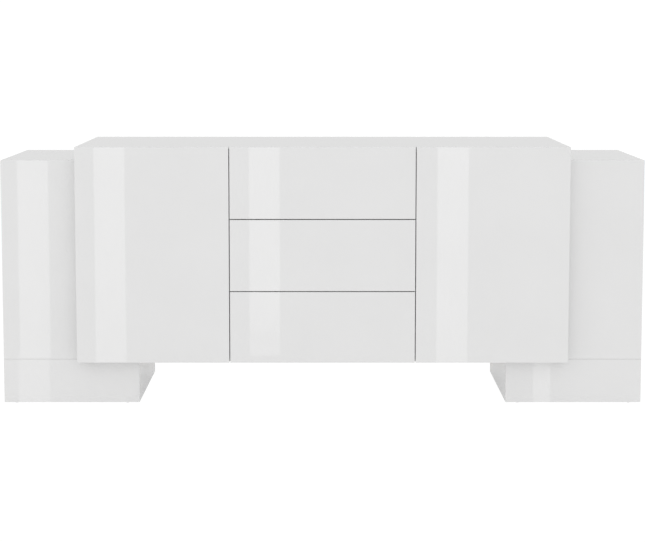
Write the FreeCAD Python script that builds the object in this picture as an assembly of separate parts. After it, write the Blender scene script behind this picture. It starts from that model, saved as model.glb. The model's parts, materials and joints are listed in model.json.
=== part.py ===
import FreeCAD, Part
import math
import os

Vec = FreeCAD.Vector

# Sideboard buffet. Millimetres, +X to the right, front towards -Y, +Z up.
# Origin: middle of the footprint, on the floor.

# ---- overall sizes ------------------------------------------------------
overall_width = 2100.0
overall_height = 850.0
center_width = 1600.0        # tall middle cabinet
center_depth = 430.0         # fronts included
wing_setback = 45.0          # wing fronts behind the middle fronts
wing_drop = 47.0             # wing tops below the middle top
plinth_height = 145.0
plinth_tuck = 196.0          # plinths reach in under the middle cabinet
drawer_bay = 604.0           # between the centre lines of the two partitions

# ---- boards and gaps ----------------------------------------------------
board = 18.0
front_board = 18.0
back_board = 4.0
drawer_board = 12.0
drawer_base = 4.0
reveal = 3.0                 # between neighbouring fronts
front_gap = 3.0              # between a front's rear face and the boards behind it
wing_door_gap = 0.4          # between a wing door and its plinth
front_ease = 0.7             # rounding of the edges of the fronts
board_ease = 0.5             # rounding of the other boards
seam_ease = 0.3              # rounding where a plinth meets its wing door
back_inset = 10.0            # back panels ahead of the rear plane
groove_depth = 6.0
groove_bite = 5.0            # how far a panel reaches into its groove
groove_play = 0.25
back_joint = 1.0             # between two back panels, behind a partition
butt_play = 0.3

# ---- shelves ------------------------------------------------------------
shelf_end_play = 1.5
shelf_setback = 20.0
shelf_rear_play = 1.0
pin_inset = 40.0
pin_radius = 2.4
pin_play = 0.1
pin_hole_depth = 8.0
pin_tip_play = 0.2
pin_collar_radius = 4.5
pin_collar = 1.2
pin_peg_radius = 3.5
pin_peg = 9.0
pin_pitch = 64.0             # spare rows above and below

# ---- cam locks ----------------------------------------------------------
cam_reach = 34.0             # cam centre to the joint plane
cam_radius = 7.5
cam_floor = 0.5              # cam metal beyond the bolt
cam_play = 0.1
cam_sink = 0.2
cam_cross = 1.2              # drive slot width
cam_cross_length = 9.0
cam_cross_depth = 1.5
bolt_radius = 3.0
bolt_play = 1.0
bolt_thread_radius = 2.5
bolt_thread = 11.0
bolt_tip_play = 0.3
cam_front_inset = 60.0
cam_rear_inset = 60.0
wing_cam_rear_inset = 100.0

# ---- concealed hinges: u from the door's outer edge, v from its rear face
hinge_end = 90.0             # hinge centre from the door's end
door_pivot = (7.43, -11.5)
link_pivot = (28.43, 5.54)
link_elbow = (14.39, -8.21)
link_tip = (8.66, -4.86)
cup_center = 22.5
cup_radius = 17.5
cup_depth = 11.5
cup_wall = 0.8
cup_play = 0.1
cup_flange = 1.2
cup_lip = 2.0                # flange beyond the cup's wall
cup_ear_half = 31.0
cup_ear_near = 8.0
cup_ear_far = 14.0
cup_ear_corner = 4.0
cup_slot_half = 5.6
cup_boss_radius = 1.4
cup_boss_start = 5.3
cup_boss_bite = 0.554        # how far a boss runs into the cup's wall
ear_screw_offset = 24.0
ear_screw_u = 5.5
ear_screw_radius = 3.4
ear_screw_head = 0.8
ear_screw_shaft = 1.6
ear_screw_length = 9.0
link_half_width = 4.8
link_half_thickness = 1.1
link_eye_radius = 2.6
link_pin_radius = 1.5
link_pin_play = 0.05
arm_half_width = 6.9
arm_cheek_start = 5.4
arm_front = 2.34
arm_end = 70.0
arm_web_near = 31.4
arm_web = 1.5
plate_thick = 2.5
plate_front = 28.0
plate_end = 62.0
plate_half = 24.0
plate_corner = 3.0
plate_screw_v = 38.0
plate_screw_w = 16.0
plate_screw_radius = 2.5
plate_screw_head_radius = 4.0
plate_screw_head = 1.4
plate_screw_length = 11.0
screw_play = 0.1

# ---- push latches -------------------------------------------------------
latch_inset = 40.0           # from the door's free edge
latch_width = 16.0
latch_height = 12.0
latch_front = 7.0            # behind the door's rear face
latch_length = 60.0
latch_ease = 1.5
plunger_radius = 3.5
plunger_play = 0.05
plunger_gap = 0.3            # tip to the closed door
plunger_length = 45.0
plunger_tip_ease = 0.8

# ---- drawers and slides -------------------------------------------------
drawer_count = 3
slide_thick = 13.0
drawer_rise = 30.0           # box bottom above the front's lower edge
drawer_head = 53.0           # box top below the front's upper edge
drawer_base_rise = 8.0
drawer_ease = 0.5
slide_rise = 60.0            # slide centre above the box bottom
slide_setback = 2.0
slide_rear_room = 43.0       # behind a slide, to the back panel
slide_steel = 1.2
outer_half = 22.5
outer_reach = 9.5
middle_half = 19.6
middle_start = 2.2
middle_reach = 10.5
inner_half = 16.0
inner_start = 5.0
slide_stop = 6.0             # rubber stop at the rear of the outer section
slide_stop_half = 6.0
middle_trim = 4.0            # the inner sections stop short of the rear stop
slide_screw_inset = 35.0     # from both ends of a section
slide_screw_radius = 1.75
slide_screw_length = 9.0
slide_screw_head_radius = 3.2
slide_screw_head = 0.8       # on the drawer section
slide_screw_low_head = 0.2   # on the cabinet section, where the middle section passes over it

# ---- driver recess in every screw head ----------------------------------
cross_rim = 1.1              # head left beyond the recess
cross_width = 0.9
cross_depth = 0.6

# ---- bracket screws -----------------------------------------------------
bracket_screw_radius = 1.75
bracket_screw_length = 12.0
bracket_screw_head_radius = 3.2
bracket_screw_head = 1.0

# ---- wall brackets ------------------------------------------------------
bracket_x = 551.0
bracket_half = 20.0
bracket_depth = 9.0
bracket_drop = 32.0
bracket_steel = 1.5
bracket_hole_radius = 3.0
bracket_hole_drop = 20.0
bracket_screw_x = 12.0

# ---- angle brackets inside the plinths ----------------------------------
angle_inset = 100.0          # from the middle cabinet's side and from the wing's side
angle_half = 10.0
angle_leg = 25.0
angle_steel = 1.5

# ---- glides -------------------------------------------------------------
glide_thick = 3.0
glide_sink = 2.0             # depth of its recess in the plinth
glide_play = 0.2
glide_radius = 8.0
glide_inset = 40.0
glide_nail_radius = 1.2
glide_nail = 10.0
glide_ease = 0.6

# ---- planes worked out from the sizes -----------------------------------
cam_depth = board / 2 + bolt_radius + cam_floor
bolt_bore_radius = bolt_radius + bolt_play
pin_hole_radius = pin_radius + pin_play
cup_flange_radius = cup_radius + cup_lip
cup_slot_near = cup_center - cup_radius + cup_wall
cup_boss_offset = cup_center - link_tip[0]
cup_boss_reach = math.sqrt((cup_radius - cup_wall) ** 2 - cup_boss_offset ** 2)
cup_boss_end = cup_boss_reach + cup_boss_bite
half_width = overall_width / 2
half_center = center_width / 2
half_bay = drawer_bay / 2
y_back = center_depth / 2
y_front = -y_back
y_door = y_front + front_board
y_case = y_door + front_gap
y_wing_front = y_front + wing_setback
y_wing_door = y_wing_front + front_board
y_wing_case = y_wing_door + front_gap
y_panel_rear = y_back - back_inset
y_panel = y_panel_rear - back_board
z_case = plinth_height
z_floor_top = z_case + board
z_under = overall_height - board
z_wing = overall_height - wing_drop
z_wing_under = z_wing - board
x_side = half_center - board
x_wing_side = half_width - board
x_partition_out = half_bay + board / 2
x_partition_in = half_bay - board / 2
front_half_reveal = reveal / 2
front_height = (overall_height - z_case - (drawer_count - 1) * reveal) / drawer_count
drawer_height = front_height - drawer_rise - drawer_head
x_box = x_partition_in - slide_thick
y_slide = y_case + slide_setback
slide_length = y_panel - slide_rear_room - y_slide
drawer_length = slide_length
y_slide_end = y_slide + slide_length
y_inner_end = y_slide_end - slide_stop - middle_trim
slide_heights = [z_case + index * (front_height + reveal) + drawer_rise + slide_rise
                 for index in range(drawer_count)]

os.makedirs("parts", exist_ok=True)


def block(x0, x1, y0, y1, z0, z1):
    lo = Vec(min(x0, x1), min(y0, y1), min(z0, z1))
    return Part.makeBox(abs(x1 - x0), abs(y1 - y0), abs(z1 - z0), lo)


def eased(shape, radius):
    return shape.makeFillet(radius, shape.Edges)


def panel(x0, x1, y0, y1, z0, z1, radius=board_ease):
    return eased(block(x0, x1, y0, y1, z0, z1), radius)


def rounded(shape, direction, radius):
    """Round the edges that run along one axis."""
    along = Vec(*direction)
    edges = [e for e in shape.Edges if abs(e.tangentAt(e.FirstParameter).dot(along)) > 0.99]
    return shape.makeFillet(radius, edges)


def rod(center, direction, radius, length):
    return Part.makeCylinder(radius, length, Vec(*center), Vec(*direction))


def cross_cut(top, out, head_radius):
    """Two crossed slots; top is the middle of a head's outer face, out points off it along an axis."""
    depth_axis = [round(abs(part)) for part in out].index(1)
    tools = []
    for long_axis in range(3):
        if long_axis != depth_axis:
            half = [cross_width / 2] * 3
            half[long_axis] = head_radius - cross_rim
            half[depth_axis] = cross_depth
            tools.append(block(top[0] - half[0], top[0] + half[0], top[1] - half[1], top[1] + half[1],
                               top[2] - half[2], top[2] + half[2]))
    return tools


def flip(shape):
    return shape.mirror(Vec(0, 0, 0), Vec(1, 0, 0))


def cut(shape, tools):
    return shape.cut(tools) if tools else shape


def join(shapes):
    return shapes[0].fuse(shapes[1:]).removeSplitter() if len(shapes) > 1 else shapes[0]


def export(name, shapes):
    shapes = shapes if isinstance(shapes, list) else [shapes]
    shape = shapes[0] if len(shapes) == 1 else Part.makeCompound(shapes)
    shape.exportStep("parts/" + name + ".step")


# ---- cam locks ----------------------------------------------------------
def cam_lock(joint, towards, face):
    """Lock at a joint point: bolt runs from board A towards board B, cam sits in A's face."""
    j, t, f = Vec(*joint), Vec(*towards), Vec(*face)
    middle = j - t * cam_reach
    mouth = middle + f * (board / 2)
    cam = Part.makeCylinder(cam_radius, cam_depth, mouth - f * cam_sink, f * -1)
    across = t.cross(f)
    slots = []
    for way in (t, across):
        corner = mouth - f * (cam_sink + cam_cross_depth)
        side = f.cross(way)
        low = corner - way * (cam_cross_length / 2) - side * (cam_cross / 2)
        high = corner + way * (cam_cross_length / 2) + side * (cam_cross / 2) + f * board
        slots.append(block(low.x, high.x, low.y, high.y, low.z, high.z))
    neck = Part.makeCylinder(bolt_radius, cam_reach, middle, t)
    thread = Part.makeCylinder(bolt_thread_radius, bolt_thread, j, t)
    lock = join([cam, neck, thread]).cut(slots)
    bore_a = Part.makeCylinder(cam_radius + cam_play, cam_depth + cam_sink + cam_play, mouth, f * -1)
    edge_bore = Part.makeCylinder(bolt_bore_radius, cam_reach, middle, t)
    bore_b = Part.makeCylinder(bolt_thread_radius + cam_play, bolt_thread + bolt_tip_play, j, t)
    return lock, [bore_a, edge_bore], [bore_b]


# Every lock is built for the left half; A and B name the boards that are bored.
lock_rows = []
for y in (y_case + cam_front_inset, y_panel - cam_rear_inset):
    lock_rows.append(("side", "top", (-half_center + board / 2, y, z_under), (0, 0, 1), (1, 0, 0)))
    lock_rows.append(("partition", "top", (-half_bay, y, z_under), (0, 0, 1), (-1, 0, 0)))
    lock_rows.append(("bottom", "side", (-x_side, y, z_case + board / 2), (-1, 0, 0), (0, 0, -1)))
    lock_rows.append(("partition", "bottom", (-half_bay, y, z_floor_top), (0, 0, -1), (-1, 0, 0)))
for y in (y_wing_case + cam_front_inset, y_panel - wing_cam_rear_inset):
    lock_rows.append(("wing_side", "wing_top", (-half_width + board / 2, y, z_wing_under),
                      (0, 0, 1), (1, 0, 0)))
    lock_rows.append(("wing_top", "side", (-half_center, y, z_wing_under + board / 2),
                      (1, 0, 0), (0, 0, -1)))
    lock_rows.append(("wing_bottom", "wing_side", (-x_wing_side, y, z_case + board / 2),
                      (-1, 0, 0), (0, 0, -1)))
    lock_rows.append(("wing_bottom", "side", (-half_center, y, z_case + board / 2),
                      (1, 0, 0), (0, 0, -1)))

locks = []
bores = {}
for a_name, b_name, joint, towards, face in lock_rows:
    lock, in_a, in_b = cam_lock(joint, towards, face)
    locks += [lock, flip(lock)]
    bores.setdefault(a_name, []).extend(in_a)
    bores.setdefault(b_name, []).extend(in_b)

# ---- shelves on pins ----------------------------------------------------
shelf_z = (z_floor_top + z_under - board) / 2
wing_shelf_z = (z_floor_top + z_wing_under - board) / 2
shelf_rear = y_panel - shelf_rear_play
pins = []


def pin_rows(wall_x, inward, shelf_front, shelf_under):
    """Pins and holes in one wall; inward is +1 or -1 along X, away from the wall."""
    holes = []
    axis_z = shelf_under - pin_radius
    for y in (shelf_front + pin_inset, shelf_rear - pin_inset):
        for step in (-1, 0, 1):
            start = (wall_x, y, axis_z + step * pin_pitch)
            holes.append(rod(start, (-inward, 0, 0), pin_hole_radius, pin_hole_depth))
        here = (wall_x, y, axis_z)
        shaft = rod(here, (-inward, 0, 0), pin_radius, pin_hole_depth - pin_tip_play)
        collar = rod(here, (inward, 0, 0), pin_collar_radius, pin_collar)
        peg = rod(here, (inward, 0, 0), pin_peg_radius, pin_peg)
        above = block(wall_x + inward * shelf_end_play, wall_x + inward * 2 * pin_peg,
                      y - pin_peg, y + pin_peg, shelf_under, shelf_under + pin_peg)
        pins.append(join([shaft, collar, peg]).cut(above))
    return holes


shelf_front = y_case + shelf_setback
wing_shelf_front = y_wing_case + shelf_setback
bores["side"] += pin_rows(-x_side, 1, shelf_front, shelf_z)
bores["partition"] += pin_rows(-x_partition_out, -1, shelf_front, shelf_z)
bores["side"] += pin_rows(-half_center, -1, wing_shelf_front, wing_shelf_z)
bores["wing_side"] += pin_rows(-x_wing_side, 1, wing_shelf_front, wing_shelf_z)
pins += [flip(pin) for pin in pins]

bay_shelf = panel(-x_side + shelf_end_play, -x_partition_out - shelf_end_play,
                  shelf_front, shelf_rear, shelf_z, shelf_z + board)
wing_shelf = panel(-x_wing_side + shelf_end_play, -half_center - shelf_end_play,
                   wing_shelf_front, shelf_rear, wing_shelf_z, wing_shelf_z + board)

# ---- concealed hinges, left-hand, origin at the door's outer rear edge --
def strip(start, end, half, half_width_w):
    """Bar between two (u, v) points, square to them, centred on w = 0."""
    a, b = Vec(start[0], start[1], 0), Vec(end[0], end[1], 0)
    along = (b - a).normalize()
    side = Vec(-along.y, along.x, 0) * half
    drop = Vec(0, 0, -half_width_w)
    corners = [a + side + drop, b + side + drop, b - side + drop, a - side + drop]
    face = Part.Face(Part.makePolygon(corners + corners[:1]))
    return face.extrude(Vec(0, 0, 2 * half_width_w))


def upright(point, radius, half):
    return Part.makeCylinder(radius, 2 * half, Vec(point[0], point[1], -half))


def make_cup():
    into = Vec(0, -1, 0)
    cup_at = Vec(cup_center, 0, 0)
    shell = Part.makeCylinder(cup_radius, cup_depth, cup_at, into)
    flange = Part.makeCylinder(cup_flange_radius, cup_flange, cup_at, Vec(0, 1, 0))
    ears = block(cup_center - cup_ear_near, cup_center + cup_ear_far, 0, cup_flange,
                 -cup_ear_half, cup_ear_half)
    ears = rounded(ears, (0, 1, 0), cup_ear_corner)
    cup = join([shell, flange, ears])
    bore = Part.makeCylinder(cup_radius - cup_wall, cup_depth, cup_at + Vec(0, cup_wall - cup_depth, 0),
                             Vec(0, 1, 0))
    lift = block(cup_center - cup_radius, cup_center + cup_radius, 0, 2 * cup_flange,
                 -cup_radius, cup_radius)
    well = bore.fuse(lift.common(Part.makeCylinder(cup_radius - cup_wall, 2 * cup_flange, cup_at,
                                                   Vec(0, 1, 0))))
    slot = block(cup_slot_near, cup_center, cup_wall - cup_depth, 2 * cup_flange,
                 -cup_slot_half, cup_slot_half)
    cup = cup.cut([well, slot])
    bosses = []
    limit = Part.makeCylinder(cup_radius, cup_depth, cup_at, into)
    for way in (-1, 1):
        boss = Part.makeCylinder(cup_boss_radius, cup_boss_end - cup_boss_start,
                                 Vec(link_tip[0], link_tip[1], way * cup_boss_start), Vec(0, 0, way))
        bosses.append(boss.common(limit))
    screws = []
    recesses = []
    for way in (-1, 1):
        at = Vec(cup_center + ear_screw_u, cup_flange, way * ear_screw_offset)
        screws.append(Part.makeCylinder(ear_screw_radius, ear_screw_head, at, Vec(0, 1, 0)))
        screws.append(Part.makeCylinder(ear_screw_shaft, ear_screw_length + cup_flange, at, into))
        recesses += cross_cut(at + Vec(0, ear_screw_head, 0), (0, 1, 0), ear_screw_radius)
    return join([cup] + bosses + screws).cut(recesses)


def cup_bores():
    into = Vec(0, -1, 0)
    tools = [Part.makeCylinder(cup_radius + cup_play, cup_depth + cup_play, Vec(cup_center, 0, 0), into)]
    for way in (-1, 1):
        at = Vec(cup_center + ear_screw_u, 0, way * ear_screw_offset)
        tools.append(Part.makeCylinder(ear_screw_shaft + screw_play, ear_screw_length + screw_play,
                                       at, into))
    return tools


def make_link():
    parts = [strip(link_tip, link_elbow, link_half_thickness, link_half_width),
             strip(link_elbow, link_pivot, link_half_thickness, link_half_width),
             upright(link_tip, link_half_thickness, link_half_width),
             upright(link_elbow, link_half_thickness, link_half_width),
             upright(link_pivot, link_eye_radius, link_half_width)]
    eye = upright(link_pivot, link_pin_radius + link_pin_play, board)
    return join(parts).cut([eye])


def make_arm():
    plate = block(board, board + plate_thick, plate_front, plate_end, -plate_half, plate_half)
    plate = rounded(plate, (1, 0, 0), plate_corner)
    base = board + plate_thick
    cheeks = []
    for way in (-1, 1):
        cheeks.append(block(base, arm_web_near + arm_web, arm_front, arm_end,
                            way * arm_cheek_start, way * arm_half_width))
    web = block(arm_web_near, arm_web_near + arm_web, arm_front, arm_end, -arm_half_width, arm_half_width)
    pin = upright(link_pivot, link_pin_radius, arm_half_width)
    screws = []
    recesses = []
    for way in (-1, 1):
        at = Vec(base, plate_screw_v, way * plate_screw_w)
        recesses += cross_cut(at + Vec(plate_screw_head, 0, 0), (1, 0, 0), plate_screw_head_radius)
        screws.append(Part.makeCylinder(plate_screw_head_radius, plate_screw_head, at, Vec(1, 0, 0)))
        screws.append(Part.makeCylinder(plate_screw_radius, plate_screw_length + plate_thick, at,
                                        Vec(-1, 0, 0)))
    return join([plate, web, pin] + cheeks + screws).cut(recesses)


def arm_bores():
    tools = []
    for way in (-1, 1):
        at = Vec(board, plate_screw_v, way * plate_screw_w)
        tools.append(Part.makeCylinder(plate_screw_radius + screw_play, plate_screw_length + screw_play, at,
                                       Vec(-1, 0, 0)))
    return tools


def placed(shape, x, y, z):
    return shape.translated(Vec(x, y, z))


cup, link, arm = make_cup(), make_link(), make_arm()
hinge_sets = {}
arms = []
door_rows = {
    "door": (-half_center, y_door, z_case, overall_height, "side"),
    "wing_door": (-half_width, y_wing_door, z_case + wing_door_gap, z_wing, "wing_side"),
}
for door_name, (x, y, z_low, z_high, wall) in door_rows.items():
    print("left", door_name, "turns about x, y:", x + door_pivot[0], y + door_pivot[1])
    heights = (z_low + hinge_end, z_high - hinge_end)
    hinge_sets[door_name] = {
        "cups": [placed(cup, x, y, z) for z in heights],
        "links": [placed(link, x, y, z) for z in heights],
        "bores": [placed(tool, x, y, z) for z in heights for tool in cup_bores()],
    }
    arms += [placed(arm, x, y, z) for z in heights]
    bores[wall] += [placed(tool, x, y, z) for z in heights for tool in arm_bores()]
arms += [flip(shape) for shape in arms]

# ---- doors --------------------------------------------------------------
door_spans = {
    "door": (-half_center, -half_bay - front_half_reveal, y_front, y_door, z_case, overall_height),
    "wing_door": (-half_width, -half_center - reveal, y_wing_front, y_wing_door,
                  z_case + wing_door_gap, z_wing),
}
housings = []
for door_name, span in door_spans.items():
    leaf = panel(*span, radius=front_ease)
    leaf = cut(leaf, hinge_sets[door_name]["bores"])
    roof = z_under if door_name == "door" else z_wing_under
    latch_x = span[1] - latch_inset
    rear = span[3]
    housing = panel(latch_x - latch_width / 2, latch_x + latch_width / 2, rear + latch_front,
                    rear + latch_front + latch_length, roof - latch_height, roof, radius=latch_ease)
    tip = (latch_x, rear + plunger_gap, roof - latch_height / 2)
    bore = rod(tip, (0, 1, 0), plunger_radius + plunger_play, plunger_length + plunger_gap)
    housing = housing.cut([bore])
    plunger = rod(tip, (0, 1, 0), plunger_radius, plunger_length)
    front_edges = [e for e in plunger.Edges if abs(e.BoundBox.YMax - tip[1]) < plunger_gap / 2]
    plunger = plunger.makeFillet(plunger_tip_ease, front_edges)
    housings += [housing, flip(housing)]
    for side_name, turn in (("left", lambda s: s), ("right", flip)):
        name = side_name + "_" + door_name
        export(name, turn(leaf))
        export(name + "_hinge_cups", [turn(s) for s in hinge_sets[door_name]["cups"]])
        export(name + "_hinge_links", [turn(s) for s in hinge_sets[door_name]["links"]])
        export(name + "_latch_plunger", turn(plunger))

# ---- angle brackets between plinths and cabinet bottoms -----------------
angles = []
angle_bores = []
for x in (half_center - angle_inset, half_width - angle_inset):
    for face, inward in ((y_wing_front + board, 1), (y_back - board, -1)):
        upright_leg = block(-x - angle_half, -x + angle_half, face, face + inward * angle_steel,
                            z_case - angle_leg, z_case)
        flat_leg = block(-x - angle_half, -x + angle_half, face, face + inward * angle_leg,
                         z_case - angle_steel, z_case)
        pieces = [upright_leg, flat_leg]
        recesses = []
        for seat, into in (((-x, face + inward * angle_steel, z_case - angle_leg / 2), (0, -inward, 0)),
                           ((-x, face + inward * angle_leg / 2, z_case - angle_steel), (0, 0, 1))):
            out = tuple(-part for part in into)
            top = tuple(here + bracket_screw_head * part for here, part in zip(seat, out))
            recesses += cross_cut(top, out, bracket_screw_head_radius)
            pieces.append(rod(seat, out, bracket_screw_head_radius, bracket_screw_head))
            pieces.append(rod(seat, into, bracket_screw_radius, bracket_screw_length + angle_steel))
            angle_bores.append(rod(seat, into, bracket_screw_radius + screw_play,
                                   bracket_screw_length + angle_steel + screw_play))
        angles.append(join(pieces).cut(recesses))

# ---- slide screws -------------------------------------------------------
def slide_screws(web_face, into, head, y_end, z):
    """Screws through a section's web on the left side, their recesses, and the bores behind the web."""
    bodies, recesses, holes = [], [], []
    for y in (y_slide + slide_screw_inset, y_end - slide_screw_inset):
        seat = (web_face, y, z)
        bodies.append(rod(seat, (-into, 0, 0), slide_screw_head_radius, head))
        bodies.append(rod(seat, (into, 0, 0), slide_screw_radius, slide_screw_length + slide_steel))
        recesses += cross_cut((web_face - into * head, y, z), (-into, 0, 0), slide_screw_head_radius)
        holes.append(rod((web_face + into * slide_steel, y, z), (into, 0, 0),
                         slide_screw_radius + screw_play, slide_screw_length + screw_play))
    return bodies, recesses, holes


cabinet_slide_screws = [slide_screws(-x_partition_in + slide_steel, -1, slide_screw_low_head, y_slide_end, z)
                        for z in slide_heights]
drawer_slide_screws = [slide_screws(-x_box - slide_steel, 1, slide_screw_head, y_inner_end, z)
                       for z in slide_heights]
bores["partition"] += [hole for row in cabinet_slide_screws for hole in row[2]]

# ---- middle cabinet -----------------------------------------------------
def both(tools):
    return tools + [flip(tool) for tool in tools]


groove_front, groove_rear = y_panel - groove_play, y_panel_rear + groove_play
groove_low, groove_high = z_floor_top - groove_depth, z_under + groove_depth
wing_groove_high = z_wing_under + groove_depth

bracket_holes = []
for way in (-1, 1):
    at = (-bracket_x + way * bracket_screw_x, y_back - bracket_depth / 2, z_under)
    bracket_holes.append(rod(at, (0, 0, 1), bracket_screw_radius + screw_play,
                             bracket_screw_length + screw_play))

top = panel(-half_center, half_center, y_case, y_back, z_under, overall_height)
top_groove = block(-x_side - groove_depth, x_side + groove_depth, groove_front, groove_rear,
                   z_under, groove_high)
export("center_top_panel", top.cut([top_groove] + both(bores["top"] + bracket_holes)))

bottom = panel(-x_side, x_side, y_case, y_back, z_case, z_floor_top)
bottom_groove = block(-half_center, half_center, groove_front, groove_rear, groove_low, z_floor_top)
export("center_bottom_panel", bottom.cut([bottom_groove] + both(bores["bottom"] + angle_bores)))

side = panel(-half_center, -x_side, y_case, y_back, z_case, z_under)
inner_groove = block(-x_side - groove_depth, -x_side, groove_front, groove_rear, groove_low, z_under)
outer_groove = block(-half_center, -half_center + groove_depth, groove_front, groove_rear,
                     groove_low, wing_groove_high)
side = side.cut([inner_groove, outer_groove] + bores["side"])
export("left_center_side_panel", side)
export("right_center_side_panel", flip(side))

partition = panel(-x_partition_out, -x_partition_in, y_case, y_panel - butt_play, z_floor_top, z_under)
partition = partition.cut(bores["partition"])
export("left_partition", partition)
export("right_partition", flip(partition))

back_low, back_high = z_floor_top - groove_bite, z_under + groove_bite
back_mid = block(-half_bay + back_joint / 2, half_bay - back_joint / 2, y_panel, y_panel_rear,
                 back_low, back_high)
back_side = block(-x_side - groove_bite, -half_bay - back_joint / 2, y_panel, y_panel_rear,
                  back_low, back_high)
export("center_back_panels", [back_side, back_mid, flip(back_side)])
export("bay_shelves", [bay_shelf, flip(bay_shelf)])

# ---- wings --------------------------------------------------------------
wing_top = panel(-half_width, -half_center, y_wing_case, y_back, z_wing_under, z_wing)
wing_top_groove = block(-x_wing_side - groove_depth, -half_center, groove_front, groove_rear,
                        z_wing_under, wing_groove_high)
wing_top = wing_top.cut([wing_top_groove] + bores["wing_top"])
export("left_wing_top_panel", wing_top)
export("right_wing_top_panel", flip(wing_top))

wing_side = panel(-half_width, -x_wing_side, y_wing_case, y_back, z_case, z_wing_under)
wing_side_groove = block(-x_wing_side - groove_depth, -x_wing_side, groove_front, groove_rear,
                         groove_low, z_wing_under)
wing_side = wing_side.cut([wing_side_groove] + bores["wing_side"])
export("left_wing_side_panel", wing_side)
export("right_wing_side_panel", flip(wing_side))

wing_bottom = panel(-x_wing_side, -half_center, y_wing_case, y_back, z_case, z_floor_top)
wing_bottom_groove = block(-half_width, -half_center, groove_front, groove_rear, groove_low, z_floor_top)
wing_bottom = wing_bottom.cut([wing_bottom_groove] + bores["wing_bottom"] + angle_bores)
export("wing_bottom_panels", [wing_bottom, flip(wing_bottom)])

wing_back = block(-x_wing_side - groove_bite, -half_center + groove_bite, y_panel, y_panel_rear,
                  back_low, z_wing_under + groove_bite)
export("wing_back_panels", [wing_back, flip(wing_back)])
export("wing_shelves", [wing_shelf, flip(wing_shelf)])

# ---- plinths ------------------------------------------------------------
plinth_width = half_width - half_center + plinth_tuck
x_plinth = half_width - plinth_width
plinth_low = glide_thick - glide_sink
glides = []
nail_bores = []
for x in (-half_width + glide_inset, -x_plinth - glide_inset):
    for y in (y_wing_front + board / 2, y_back - board / 2):
        disc = rod((x, y, 0), (0, 0, 1), glide_radius, glide_thick)
        rim = [e for e in disc.Edges if e.BoundBox.ZMax < plinth_low / 2]
        disc = disc.makeFillet(glide_ease, rim)
        nail = rod((x, y, glide_thick / 2), (0, 0, 1), glide_nail_radius, glide_nail + glide_thick / 2)
        glides.append(join([disc, nail]))
        nail_bores.append(rod((x, y, glide_thick), (0, 0, 1), glide_nail_radius + screw_play,
                              glide_nail + screw_play))
        nail_bores.append(rod((x, y, 0), (0, 0, 1), glide_radius + glide_play, glide_thick))
glides += [flip(glide) for glide in glides]
export("plinth_glides", glides)

plinth_front = panel(-half_width, -x_plinth, y_wing_front, y_wing_front + board, plinth_low, z_case,
                     radius=seam_ease)
plinth_front = plinth_front.cut(nail_bores + angle_bores)
plinth_back = panel(-half_width, -x_plinth, y_back - board, y_back, plinth_low, z_case)
plinth_back = plinth_back.cut(nail_bores + angle_bores)
plinth_inner = panel(-x_plinth - board, -x_plinth, y_wing_front + board, y_back - board, plinth_low, z_case)
plinth_outer = panel(-half_width, -x_wing_side, y_wing_front + board, y_back - board, plinth_low, z_case)
export("left_plinth_front", plinth_front)
export("right_plinth_front", flip(plinth_front))
export("left_plinth_inner_side", plinth_inner)
export("right_plinth_inner_side", flip(plinth_inner))
export("plinth_outer_sides", [plinth_outer, flip(plinth_outer)])
export("plinth_back_boards", [plinth_back, flip(plinth_back)])

# ---- drawers ------------------------------------------------------------
x_front = half_bay - front_half_reveal
x_box_in = x_box - drawer_board
y_box_end = y_door + drawer_length


def channel(wall_x, start, reach, half, web_first, y0, y1, z):
    """C section along Y on the left partition; start and reach count from its inner face."""
    lo, hi = wall_x + start, wall_x + reach
    web_lo = lo if web_first else hi - slide_steel
    web = block(web_lo, web_lo + slide_steel, y0, y1, z - half, z + half)
    lips = [block(lo, hi, y0, y1, z + way * half, z + way * (half - slide_steel)) for way in (-1, 1)]
    return join([web] + lips)


outer_members = []
drawer_names = ("bottom_drawer", "middle_drawer", "top_drawer")
for index, name in enumerate(drawer_names):
    z_front = z_case + index * (front_height + reveal)
    z_box = z_front + drawer_rise
    z_box_top = z_box + drawer_height
    z_base = z_box + drawer_base_rise
    z_slide = slide_heights[index]
    front = panel(-x_front, x_front, y_front, y_door, z_front, z_front + front_height, radius=front_ease)
    base_groove = block(-x_box_in - groove_depth, x_box_in + groove_depth, y_door - groove_depth, y_box_end,
                        z_base - groove_play, z_base + drawer_base + groove_play)
    export(name + "_front", front.cut([base_groove]))
    wall = panel(-x_box, -x_box_in, y_door, y_box_end, z_box, z_box_top, radius=drawer_ease)
    wall_screws, wall_recesses, wall_holes = drawer_slide_screws[index]
    wall = wall.cut([base_groove] + wall_holes)
    rear = panel(-x_box_in, x_box_in, y_box_end - drawer_board, y_box_end,
                 z_base + drawer_base + groove_play, z_box_top, radius=drawer_ease)
    export(name + "_walls", [wall, flip(wall), rear])
    base = block(-x_box_in - groove_bite, x_box_in + groove_bite, y_door - groove_bite, y_box_end,
                 z_base, z_base + drawer_base)
    export(name + "_bottom", base)
    outer = channel(-x_partition_in, 0, outer_reach, outer_half, True, y_slide, y_slide_end, z_slide)
    stop = block(-x_partition_in, -x_partition_in + outer_reach, y_slide_end - slide_stop, y_slide_end,
                 z_slide - slide_stop_half, z_slide + slide_stop_half)
    partition_screws, partition_recesses, _ = cabinet_slide_screws[index]
    outer = join([outer, stop] + partition_screws).cut(partition_recesses)
    outer_members += [outer, flip(outer)]
    middle = channel(-x_partition_in, middle_start, middle_reach, middle_half, True,
                     y_slide, y_inner_end, z_slide)
    export(name + "_slide_middle_members", [middle, flip(middle)])
    inner = channel(-x_partition_in, inner_start, slide_thick, inner_half, False,
                    y_slide, y_inner_end, z_slide)
    inner = join([inner] + wall_screws).cut(wall_recesses)
    export(name + "_slide_drawer_members", [inner, flip(inner)])

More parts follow.
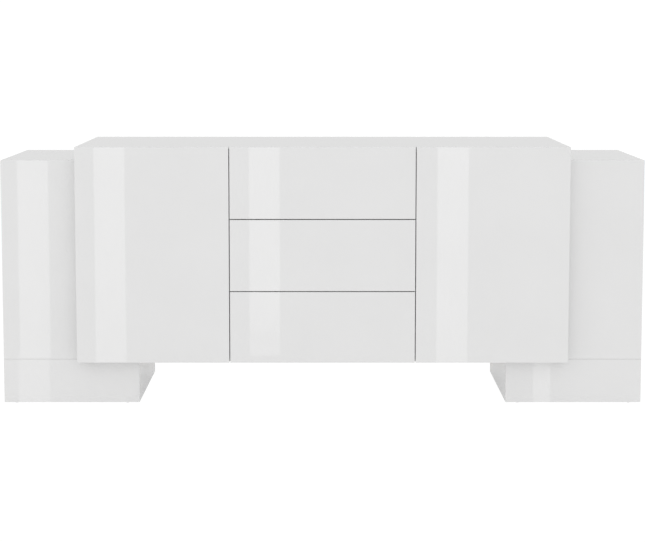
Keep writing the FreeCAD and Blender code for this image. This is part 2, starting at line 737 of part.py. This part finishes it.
# ---- small hardware fixed to the carcass --------------------------------
leg = block(-bracket_x - bracket_half, -bracket_x + bracket_half, y_back - bracket_depth, y_back,
            z_under - bracket_steel, z_under)
drop = block(-bracket_x - bracket_half, -bracket_x + bracket_half, y_back - bracket_steel, y_back,
             z_under - bracket_drop, z_under)
bracket = join([leg, drop])
wall_hole = rod((-bracket_x, y_back - bracket_depth, z_under - bracket_hole_drop), (0, 1, 0),
                bracket_hole_radius, 2 * bracket_depth)
bracket = bracket.cut([wall_hole])
screws = []
recesses = []
for way in (-1, 1):
    x = -bracket_x + way * bracket_screw_x
    under = z_under - bracket_steel
    y = y_back - bracket_depth / 2
    screws.append(rod((x, y, under - bracket_screw_head), (0, 0, 1), bracket_screw_head_radius,
                      bracket_screw_head))
    screws.append(rod((x, y, under), (0, 0, 1), bracket_screw_radius, bracket_screw_length + bracket_steel))
    recesses += cross_cut((x, y, under - bracket_screw_head), (0, 0, -1), bracket_screw_head_radius)
bracket = join([bracket] + screws).cut(recesses)

export("cam_locks", locks)
export("plinth_brackets", angles + [flip(angle) for angle in angles])
export("shelf_pins", pins)
export("hinge_arms", arms)
export("slide_cabinet_members", outer_members)
export("latch_housings", housings)
export("wall_brackets", [bracket, flip(bracket)])
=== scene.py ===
import json
import math

import bmesh
import bpy
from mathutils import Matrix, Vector


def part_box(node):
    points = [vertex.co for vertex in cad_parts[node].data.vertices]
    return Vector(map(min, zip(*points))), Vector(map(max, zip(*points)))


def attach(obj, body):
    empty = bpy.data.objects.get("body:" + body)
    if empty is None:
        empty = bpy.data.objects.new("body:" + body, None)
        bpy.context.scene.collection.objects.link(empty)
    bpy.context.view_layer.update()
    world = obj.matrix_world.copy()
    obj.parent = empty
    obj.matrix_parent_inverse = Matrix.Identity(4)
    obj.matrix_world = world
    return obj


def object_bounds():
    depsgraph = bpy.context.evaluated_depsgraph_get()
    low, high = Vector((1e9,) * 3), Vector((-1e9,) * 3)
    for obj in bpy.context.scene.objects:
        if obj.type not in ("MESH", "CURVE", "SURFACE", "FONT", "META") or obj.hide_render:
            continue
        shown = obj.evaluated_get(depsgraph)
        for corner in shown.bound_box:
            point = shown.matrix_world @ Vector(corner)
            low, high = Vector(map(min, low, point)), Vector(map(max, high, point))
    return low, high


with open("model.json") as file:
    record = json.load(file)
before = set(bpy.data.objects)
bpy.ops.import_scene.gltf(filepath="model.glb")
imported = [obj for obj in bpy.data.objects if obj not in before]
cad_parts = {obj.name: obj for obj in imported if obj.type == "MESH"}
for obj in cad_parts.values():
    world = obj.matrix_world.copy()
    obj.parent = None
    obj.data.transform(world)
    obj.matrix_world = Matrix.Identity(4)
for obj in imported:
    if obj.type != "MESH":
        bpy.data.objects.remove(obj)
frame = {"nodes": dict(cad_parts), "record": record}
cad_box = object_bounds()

MM = 0.001
NODES = frame["nodes"]
DRAWERS = ("bottom_drawer", "middle_drawer", "top_drawer")      # from the lowest to the highest

# ---- camera: metres and degrees, lens and sensor in millimetres ----------
CAMERA_DISTANCE = 4.2622
CAMERA_HEIGHT = 1.2047
CAMERA_PITCH = 4.2           # downwards; the shift does the rest and keeps the uprights near vertical
CAMERA_SHIFT = -0.2195
CAMERA_LENS = 70.45
SENSOR = 36.0

# ---- studio light: strengths ---------------------------------------------
FRONT_LIGHT = 1.215          # from the front of the object
REAR_LIGHT = 0.755
SEEN_WHITE = 1.06            # floor and world where the camera sees them directly
FLOOR_GLOW = 1.05            # what the white floor throws back by itself
FLOOR_GLOW_SHARE = 0.40      # glow against matt white, where the floor lights the object
FLOOR_SEEN_SHARE = 0.93      # the same where the camera sees the floor
FLOOR_REACH = 30.0
FLOOR_GAP = 0.2 * MM         # the floor lies this far under the object

# ---- light cards: metres, seen only as reflections in the glossy fronts ---
CARD_TOP_LIGHT = 2.40
CARD_LOW_LIGHT = 2.10
FAINT_CARD_LIGHT = 1.75
CARD_Y = -0.76               # upright cards stand here, in front of the object
CARD_TOP = 0.81
DRAWER_CARD_FOOT = 0.03      # under DRAWER_CARD_STEP the card before the drawers is faint
DRAWER_CARD_STEP = 0.12
FLOOR_CARD_LIFT = MM


# ---- textures -----------------------------------------------------------
CHIP_SCALE = 420.0           # flakes of raw chipboard
SPANGLE_SCALE = 260.0        # crystals of the zinc coat
SCREEN_SCALE = 160.0         # mesh print on the hardboard's rough side
FACING_BACK = 0.9            # least rearward part of the normal on a rear edge
FACING_INSIDE = -0.5         # most rearward part of the normal on the boards' white side


# ---- node helpers -------------------------------------------------------
class Graph:
    """A material's node tree with short calls to add and join nodes."""

    def __init__(self, name):
        self.material = bpy.data.materials.new(name)
        self.material.use_nodes = True
        self.tree = self.material.node_tree
        self.tree.nodes.clear()
        self.output = self.add("ShaderNodeOutputMaterial")

    def add(self, kind, **settings):
        node = self.tree.nodes.new(kind)
        for key, value in settings.items():
            setattr(node, key, value)
        return node

    def link(self, source, target):
        self.tree.links.new(source, target)

    def coordinates(self):
        return self.add("ShaderNodeTexCoord").outputs["Object"]

    def normal(self):
        return self.add("ShaderNodeTexCoord").outputs["Normal"]

    def parts(self, vector):
        """The X, Y and Z outputs of a vector."""
        node = self.add("ShaderNodeSeparateXYZ")
        self.link(vector, node.inputs["Vector"])
        return node.outputs

    def cells(self, where, scale):
        """One random colour for each Voronoi cell."""
        node = self.add("ShaderNodeTexVoronoi", feature="F1")
        node.inputs["Scale"].default_value = scale
        self.link(where, node.inputs["Vector"])
        return node.outputs["Color"]

    def noise(self, where, scale, detail=3.0, roughness=0.5, stretch=None):
        if stretch:
            mapping = self.add("ShaderNodeMapping")
            mapping.inputs["Scale"].default_value = stretch
            self.link(where, mapping.inputs["Vector"])
            where = mapping.outputs["Vector"]
        node = self.add("ShaderNodeTexNoise")
        node.inputs["Scale"].default_value = scale
        node.inputs["Detail"].default_value = detail
        node.inputs["Roughness"].default_value = roughness
        self.link(where, node.inputs["Vector"])
        return node.outputs["Fac"]

    def ramp(self, factor, *stops):
        node = self.add("ShaderNodeValToRGB")
        points = node.color_ramp.elements
        for index, (position, color) in enumerate(stops):
            point = points[index] if index < 2 else points.new(position)
            point.position, point.color = position, (*color, 1.0)
        self.link(factor, node.inputs["Fac"])
        return node.outputs["Color"]

    def spread(self, factor, low, high):
        node = self.add("ShaderNodeMapRange")
        node.inputs["To Min"].default_value = low
        node.inputs["To Max"].default_value = high
        self.link(factor, node.inputs["Value"])
        return node.outputs["Result"]

    def math(self, operation, a, b=None):
        node = self.add("ShaderNodeMath", operation=operation)
        for socket, value in zip(node.inputs, (a, b)):
            if isinstance(value, (int, float)):
                socket.default_value = value
            elif value is not None:
                self.link(value, socket)
        return node.outputs["Value"]

    def mix(self, factor, a, b):
        node = self.add("ShaderNodeMix", data_type="RGBA")
        self.link(factor, node.inputs["Factor"])
        for socket, value in ((node.inputs[6], a), (node.inputs[7], b)):
            if isinstance(value, tuple):
                socket.default_value = (*value, 1.0)
            else:
                self.link(value, socket)
        return node.outputs[2]

    def bump(self, height, strength, distance, below=None):
        node = self.add("ShaderNodeBump")
        node.inputs["Strength"].default_value = strength
        node.inputs["Distance"].default_value = distance
        self.link(height, node.inputs["Height"])
        if below is not None:
            self.link(below, node.inputs["Normal"])
        return node.outputs["Normal"]

    def shader(self, color=None, roughness=None, normal=None, **numbers):
        node = self.add("ShaderNodeBsdfPrincipled")
        for key, value in numbers.items():
            node.inputs[key.replace("_", " ")].default_value = value
        for key, value in (("Base Color", color), ("Roughness", roughness), ("Normal", normal)):
            if value is not None:
                self.link(value, node.inputs[key])
        self.link(node.outputs["BSDF"], self.output.inputs["Surface"])
        return self.material


def grey(value, warm=0.0):
    return (value + warm, value, value - warm)


# ---- materials ----------------------------------------------------------
def rear_edge(graph):
    """1 above the plinths, on faces at the rear plane that look backwards: boards have no edging there."""
    place = graph.parts(graph.coordinates())
    at_rear = graph.math("GREATER_THAN", place["Y"], cad_box[1].y - MM)
    above = graph.math("GREATER_THAN", place["Z"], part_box("plinth_back_boards")[1].z)
    facing = graph.math("GREATER_THAN", graph.parts(graph.normal())["Y"], FACING_BACK)
    return graph.math("MULTIPLY", graph.math("MULTIPLY", at_rear, above), facing)


def chips(graph, where):
    """Colour of raw chipboard."""
    flakes = graph.cells(where, CHIP_SCALE)
    return graph.ramp(flakes, (0.0, (0.24, 0.15, 0.08)), (1.0, (0.62, 0.46, 0.29)))


def gloss_lacquer():
    g = Graph("white_gloss_lacquer")
    where = g.coordinates()
    cloud = g.noise(where, 5.0, detail=2.0)
    color = g.ramp(cloud, (0.35, grey(0.742, 0.001)), (0.65, grey(0.752, 0.001)))
    bare = rear_edge(g)
    color = g.mix(bare, color, chips(g, where))
    smudge = g.noise(where, 14.0, detail=4.0, roughness=0.6)
    roughness = g.spread(smudge, 0.018, 0.040)
    roughness = g.math("MAXIMUM", roughness, g.math("MULTIPLY", bare, 0.8))
    peel = g.noise(where, 260.0, detail=1.0)
    waves = g.noise(where, 22.0, detail=0.0)
    normal = g.bump(peel, 0.10, 0.02 * MM, g.bump(waves, 0.02, 0.2 * MM))
    return g.shader(color, roughness, normal, Specular_IOR_Level=0.5, IOR=1.5)


def melamine():
    g = Graph("white_melamine")
    where = g.coordinates()
    cloud = g.noise(where, 7.0, detail=3.0)
    color = g.ramp(cloud, (0.3, grey(0.70, 0.003)), (0.7, grey(0.73, 0.003)))
    bare = rear_edge(g)
    color = g.mix(bare, color, chips(g, where))
    pearl = g.noise(where, 900.0, detail=2.0)
    roughness = g.spread(pearl, 0.38, 0.52)
    normal = g.bump(pearl, 0.25, 0.06 * MM)
    return g.shader(color, roughness, normal, Specular_IOR_Level=0.5)


def hardboard():
    g = Graph("back_hardboard")
    where = g.coordinates()
    inside = g.math("LESS_THAN", g.parts(g.normal())["Y"], FACING_INSIDE)
    fibres = g.noise(where, 320.0, detail=4.0, roughness=0.7, stretch=(1.0, 1.0, 0.35))
    brown = g.ramp(fibres, (0.3, (0.20, 0.115, 0.06)), (0.7, (0.36, 0.235, 0.135)))
    white = g.ramp(g.noise(where, 6.0), (0.3, grey(0.66, 0.004)), (0.7, grey(0.70, 0.004)))
    color = g.mix(inside, brown, white)
    grid = []
    for direction in ("X", "Z"):
        wave = g.add("ShaderNodeTexWave", bands_direction=direction)
        wave.inputs["Scale"].default_value = SCREEN_SCALE
        wave.inputs["Distortion"].default_value = 0.4
        g.link(where, wave.inputs["Vector"])
        grid.append(wave.outputs["Fac"])
    screen = g.math("MULTIPLY", g.math("MULTIPLY", *grid), g.math("SUBTRACT", 1.0, inside))
    height = g.math("ADD", screen, g.math("MULTIPLY", fibres, 0.3))
    roughness = g.spread(fibres, 0.5, 0.75)
    return g.shader(color, roughness, g.bump(height, 0.5, 0.12 * MM), Specular_IOR_Level=0.35)


def zinc_steel():
    g = Graph("zinc_steel")
    where = g.coordinates()
    spangle = g.cells(where, SPANGLE_SCALE)
    color = g.ramp(spangle, (0.0, (0.50, 0.52, 0.55)), (1.0, (0.66, 0.67, 0.69)))
    brushed = g.noise(where, 900.0, detail=2.0, stretch=(1.0, 0.04, 1.0))
    roughness = g.spread(brushed, 0.22, 0.42)
    normal = g.bump(brushed, 0.15, 0.02 * MM)
    return g.shader(color, roughness, normal, Metallic=1.0)


def moulded_plastic(name, low, high, warm=0.0):
    g = Graph(name)
    where = g.coordinates()
    color = g.ramp(g.noise(where, 40.0), (0.3, grey(low, warm)), (0.7, grey(high, warm)))
    grain = g.noise(where, 2600.0, detail=2.0)
    roughness = g.spread(grain, 0.40, 0.60)
    return g.shader(color, roughness, g.bump(grain, 0.3, 0.03 * MM), Specular_IOR_Level=0.5)


MATERIALS = {
    "white_gloss_lacquer": gloss_lacquer(),
    "white_melamine": melamine(),
    "back_hardboard": hardboard(),
    "zinc_steel": zinc_steel(),
    "grey_plastic": moulded_plastic("grey_plastic", 0.16, 0.20),
    "white_plastic": moulded_plastic("white_plastic", 0.62, 0.68, 0.004),
}

for part in frame["record"]["subparts"]:
    node = NODES[part["node"]]
    node.data.materials.clear()
    node.data.materials.append(MATERIALS[part["material_slot"]])
    even = node.modifiers.new("even_normals", "WEIGHTED_NORMAL")
    even.keep_sharp = True
    even.weight = 100


# ---- ball cages of the drawer slides ------------------------------------
STEEL = 1.2 * MM             # sheet of the slide members
CAGE_SHEET = 0.4 * MM
BALL_PITCH = 8.0 * MM
BALL_PLAY = 0.05 * MM
CAGE_END_ROOM = 5.0 * MM
CAGE_LIP = 5.6 * MM          # from the cage's web to the lips' free edges


def ball_cage(name, body, side, web_x, tip_x, row_z, ball_radius, y_low, y_high, middle_z):
    """C-shaped sheet cage with a row of balls along each lip; side is -1 left or +1 right."""
    profile = [(tip_x, row_z), (web_x, row_z), (web_x, -row_z), (tip_x, -row_z)]
    form = bmesh.new()
    rows = [[form.verts.new((side * x, y, middle_z + z)) for x, z in profile] for y in (y_low, y_high)]
    for index in range(len(profile) - 1):
        form.faces.new((rows[0][index], rows[0][index + 1], rows[1][index + 1], rows[1][index]))
    bmesh.ops.solidify(form, geom=form.faces[:], thickness=CAGE_SHEET)
    count = int((y_high - y_low) / BALL_PITCH)
    ball_x = side * (tip_x + web_x) / 2
    for index in range(count):
        y = y_low + (index + 0.5) * (y_high - y_low) / count
        for z in (-row_z, row_z):
            start = len(form.verts)
            bmesh.ops.create_icosphere(form, subdivisions=2, radius=ball_radius)
            form.verts.ensure_lookup_table()
            bmesh.ops.translate(form, verts=form.verts[start:], vec=Vector((ball_x, y, middle_z + z)))
    bmesh.ops.recalc_face_normals(form, faces=form.faces[:])
    mesh = bpy.data.meshes.new(name)
    form.to_mesh(mesh)
    form.free()
    mesh.materials.append(MATERIALS["zinc_steel"])
    cage = bpy.data.objects.new(name, mesh)
    bpy.context.scene.collection.objects.link(cage)
    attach(cage, body)


def add_ball_cages(drawer):
    """Two cages a side: between cabinet and middle members, and between middle and drawer members."""
    body = drawer + "_slide_middle"
    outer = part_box("slide_cabinet_members")
    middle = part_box(drawer + "_slide_middle_members")
    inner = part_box(drawer + "_slide_drawer_members")
    z = (middle[0].z + middle[1].z) / 2
    y_half = (middle[0].y + middle[1].y) / 2
    lowest, highest = (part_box(name + "_slide_middle_members")[0].z for name in (DRAWERS[0], DRAWERS[-1]))
    outer_height = outer[1].z - outer[0].z - (highest - lowest)     # the node holds all three rows
    lip_outer = outer_height / 2 - STEEL
    lip_middle, lip_inner = (middle[1].z - middle[0].z) / 2, (inner[1].z - inner[0].z) / 2
    outer_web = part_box("right_partition")[0].x - STEEL
    middle_web = middle[1].x - STEEL
    spans = (
        ("outer", (outer_web + middle[1].x + CAGE_SHEET) / 2, lip_outer, lip_middle,
         y_half + CAGE_END_ROOM, middle[1].y - CAGE_END_ROOM),
        ("inner", (middle_web + inner[1].x + CAGE_SHEET) / 2, lip_middle - STEEL, lip_inner,
         middle[0].y + CAGE_END_ROOM, y_half - CAGE_END_ROOM),
    )
    for label, web_x, high, low, y_low, y_high in spans:
        tip_x = web_x - CAGE_LIP
        for side, word in ((-1, "left"), (1, "right")):
            ball_cage(f"{drawer}_{word}_{label}_ball_cage", body, side, web_x, tip_x, (high + low) / 2,
                      (high - low) / 2 - BALL_PLAY, y_low, y_high, z)


for drawer_name in DRAWERS:
    add_ball_cages(drawer_name)


# ---- stage --------------------------------------------------------------
def plane(name, corners, material):
    """Flat stage piece from its corners, not part of the object."""
    mesh = bpy.data.meshes.new(name)
    mesh.from_pydata(corners, [], [tuple(range(len(corners)))])
    mesh.materials.append(material)
    piece = bpy.data.objects.new(name, mesh)
    bpy.context.scene.collection.objects.link(piece)
    return piece


def seen_directly(graph):
    return graph.add("ShaderNodeLightPath").outputs["Is Camera Ray"]


def make_floor():
    """White floor: bright where it is seen, plain matt where it lights the object."""
    g = Graph("pale_floor")
    tone = g.ramp(g.noise(g.coordinates(), 3.0), (0.3, grey(0.80)), (0.7, grey(0.84)))
    matt = g.add("ShaderNodeBsdfDiffuse")
    g.link(tone, matt.inputs["Color"])
    glow = g.add("ShaderNodeEmission")
    g.link(g.spread(seen_directly(g), FLOOR_GLOW, SEEN_WHITE), glow.inputs["Strength"])
    blend = g.add("ShaderNodeMixShader")
    g.link(g.spread(seen_directly(g), FLOOR_GLOW_SHARE, FLOOR_SEEN_SHARE), blend.inputs[0])
    g.link(matt.outputs["BSDF"], blend.inputs[1])
    g.link(glow.outputs["Emission"], blend.inputs[2])
    g.link(blend.outputs["Shader"], g.output.inputs["Surface"])
    level = cad_box[0].z - FLOOR_GAP
    around = ((-1, -1), (1, -1), (1, 1), (-1, 1))
    plane("floor", [(x * FLOOR_REACH, y * FLOOR_REACH, level) for x, y in around], g.material)


def make_world():
    """Soft light from all round, stronger from the front than from the rear."""
    world = bpy.data.worlds.new("studio")
    bpy.context.scene.world = world
    world.use_nodes = True
    nodes, links = world.node_tree.nodes, world.node_tree.links
    nodes.clear()
    direction = nodes.new("ShaderNodeTexCoord")
    axes = nodes.new("ShaderNodeSeparateXYZ")
    links.new(direction.outputs["Generated"], axes.inputs["Vector"])
    side = nodes.new("ShaderNodeMapRange")
    side.inputs["From Min"].default_value = -1.0
    side.inputs["To Min"].default_value = FRONT_LIGHT
    side.inputs["To Max"].default_value = REAR_LIGHT
    links.new(axes.outputs["Y"], side.inputs["Value"])
    path = nodes.new("ShaderNodeLightPath")
    strength = nodes.new("ShaderNodeMapRange")
    strength.inputs["To Max"].default_value = SEEN_WHITE
    links.new(side.outputs["Result"], strength.inputs["To Min"])
    links.new(path.outputs["Is Camera Ray"], strength.inputs["Value"])
    sky = nodes.new("ShaderNodeBackground")
    sky.inputs["Color"].default_value = (1.0, 1.0, 1.0, 1.0)
    links.new(strength.outputs["Result"], sky.inputs["Strength"])
    out = nodes.new("ShaderNodeOutputWorld")
    links.new(sky.outputs["Background"], out.inputs["Surface"])


def card_glow(name, low, high):
    """Light of a card, from the floor to the object's height."""
    g = Graph(name)
    fade = g.add("ShaderNodeMapRange")
    fade.inputs["From Max"].default_value = cad_box[1].z
    fade.inputs["To Min"].default_value = low
    fade.inputs["To Max"].default_value = high
    g.link(g.parts(g.coordinates())["Z"], fade.inputs["Value"])
    glow = g.add("ShaderNodeEmission")
    g.link(fade.outputs["Result"], glow.inputs["Strength"])
    g.link(glow.outputs["Emission"], g.output.inputs["Surface"])
    return g.material


def reflected_only(card):
    card.visible_camera = card.visible_diffuse = card.visible_shadow = False
    card.visible_transmission = False


def light_card(name, x_low, x_high, z_low, z_high, material):
    """Upright card that only shows as a reflection in the glossy fronts."""
    around = ((x_low, z_low), (x_high, z_low), (x_high, z_high), (x_low, z_high))
    reflected_only(plane(name, [(x, CARD_Y, z) for x, z in around], material))


def floor_card(name, x_low, x_high, material):
    """Lying card from the plinths' front to the upright cards.

    It narrows towards the plinths, so that its reflection in them stands upright in the picture.
    """
    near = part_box("left_plinth_front")[0].y
    narrow = (CAMERA_DISTANCE + near) / (CAMERA_DISTANCE + 2 * near - CARD_Y)
    level = cad_box[0].z + FLOOR_CARD_LIFT
    corners = [(x_low, CARD_Y, level), (x_high, CARD_Y, level),
               (x_high * narrow, near, level), (x_low * narrow, near, level)]
    reflected_only(plane(name, corners, material))


def make_camera():
    data = bpy.data.cameras.new("camera")
    data.sensor_width, data.lens, data.shift_y = SENSOR, CAMERA_LENS, CAMERA_SHIFT
    camera = bpy.data.objects.new("camera", data)
    camera.location = (0.0, -CAMERA_DISTANCE, CAMERA_HEIGHT)
    camera.rotation_euler = (math.radians(90 - CAMERA_PITCH), 0, 0)
    bpy.context.scene.collection.objects.link(camera)
    bpy.context.scene.camera = camera


make_floor()
make_world()
make_camera()
bpy.context.scene.view_settings.view_transform = "Standard"

strong = card_glow("light_card", CARD_LOW_LIGHT, CARD_TOP_LIGHT)
faint = card_glow("faint_light_card", FAINT_CARD_LIGHT, FAINT_CARD_LIGHT)
light_card("card_left_wing", -1.139, -1.024, 0.0, CARD_TOP, strong)
light_card("card_left_door", -0.837, -0.725, 0.0, CARD_TOP, strong)
light_card("card_drawers", -0.269, -0.157, DRAWER_CARD_STEP, CARD_TOP, strong)
light_card("card_drawers_foot", -0.269, -0.157, DRAWER_CARD_FOOT, DRAWER_CARD_STEP, faint)
light_card("card_right_door", 0.421, 0.535, 0.0, CARD_TOP, strong)
floor_card("card_left_plinth", -1.147, -1.030, faint)
floor_card("card_right_plinth", 0.795, 0.859, strong)
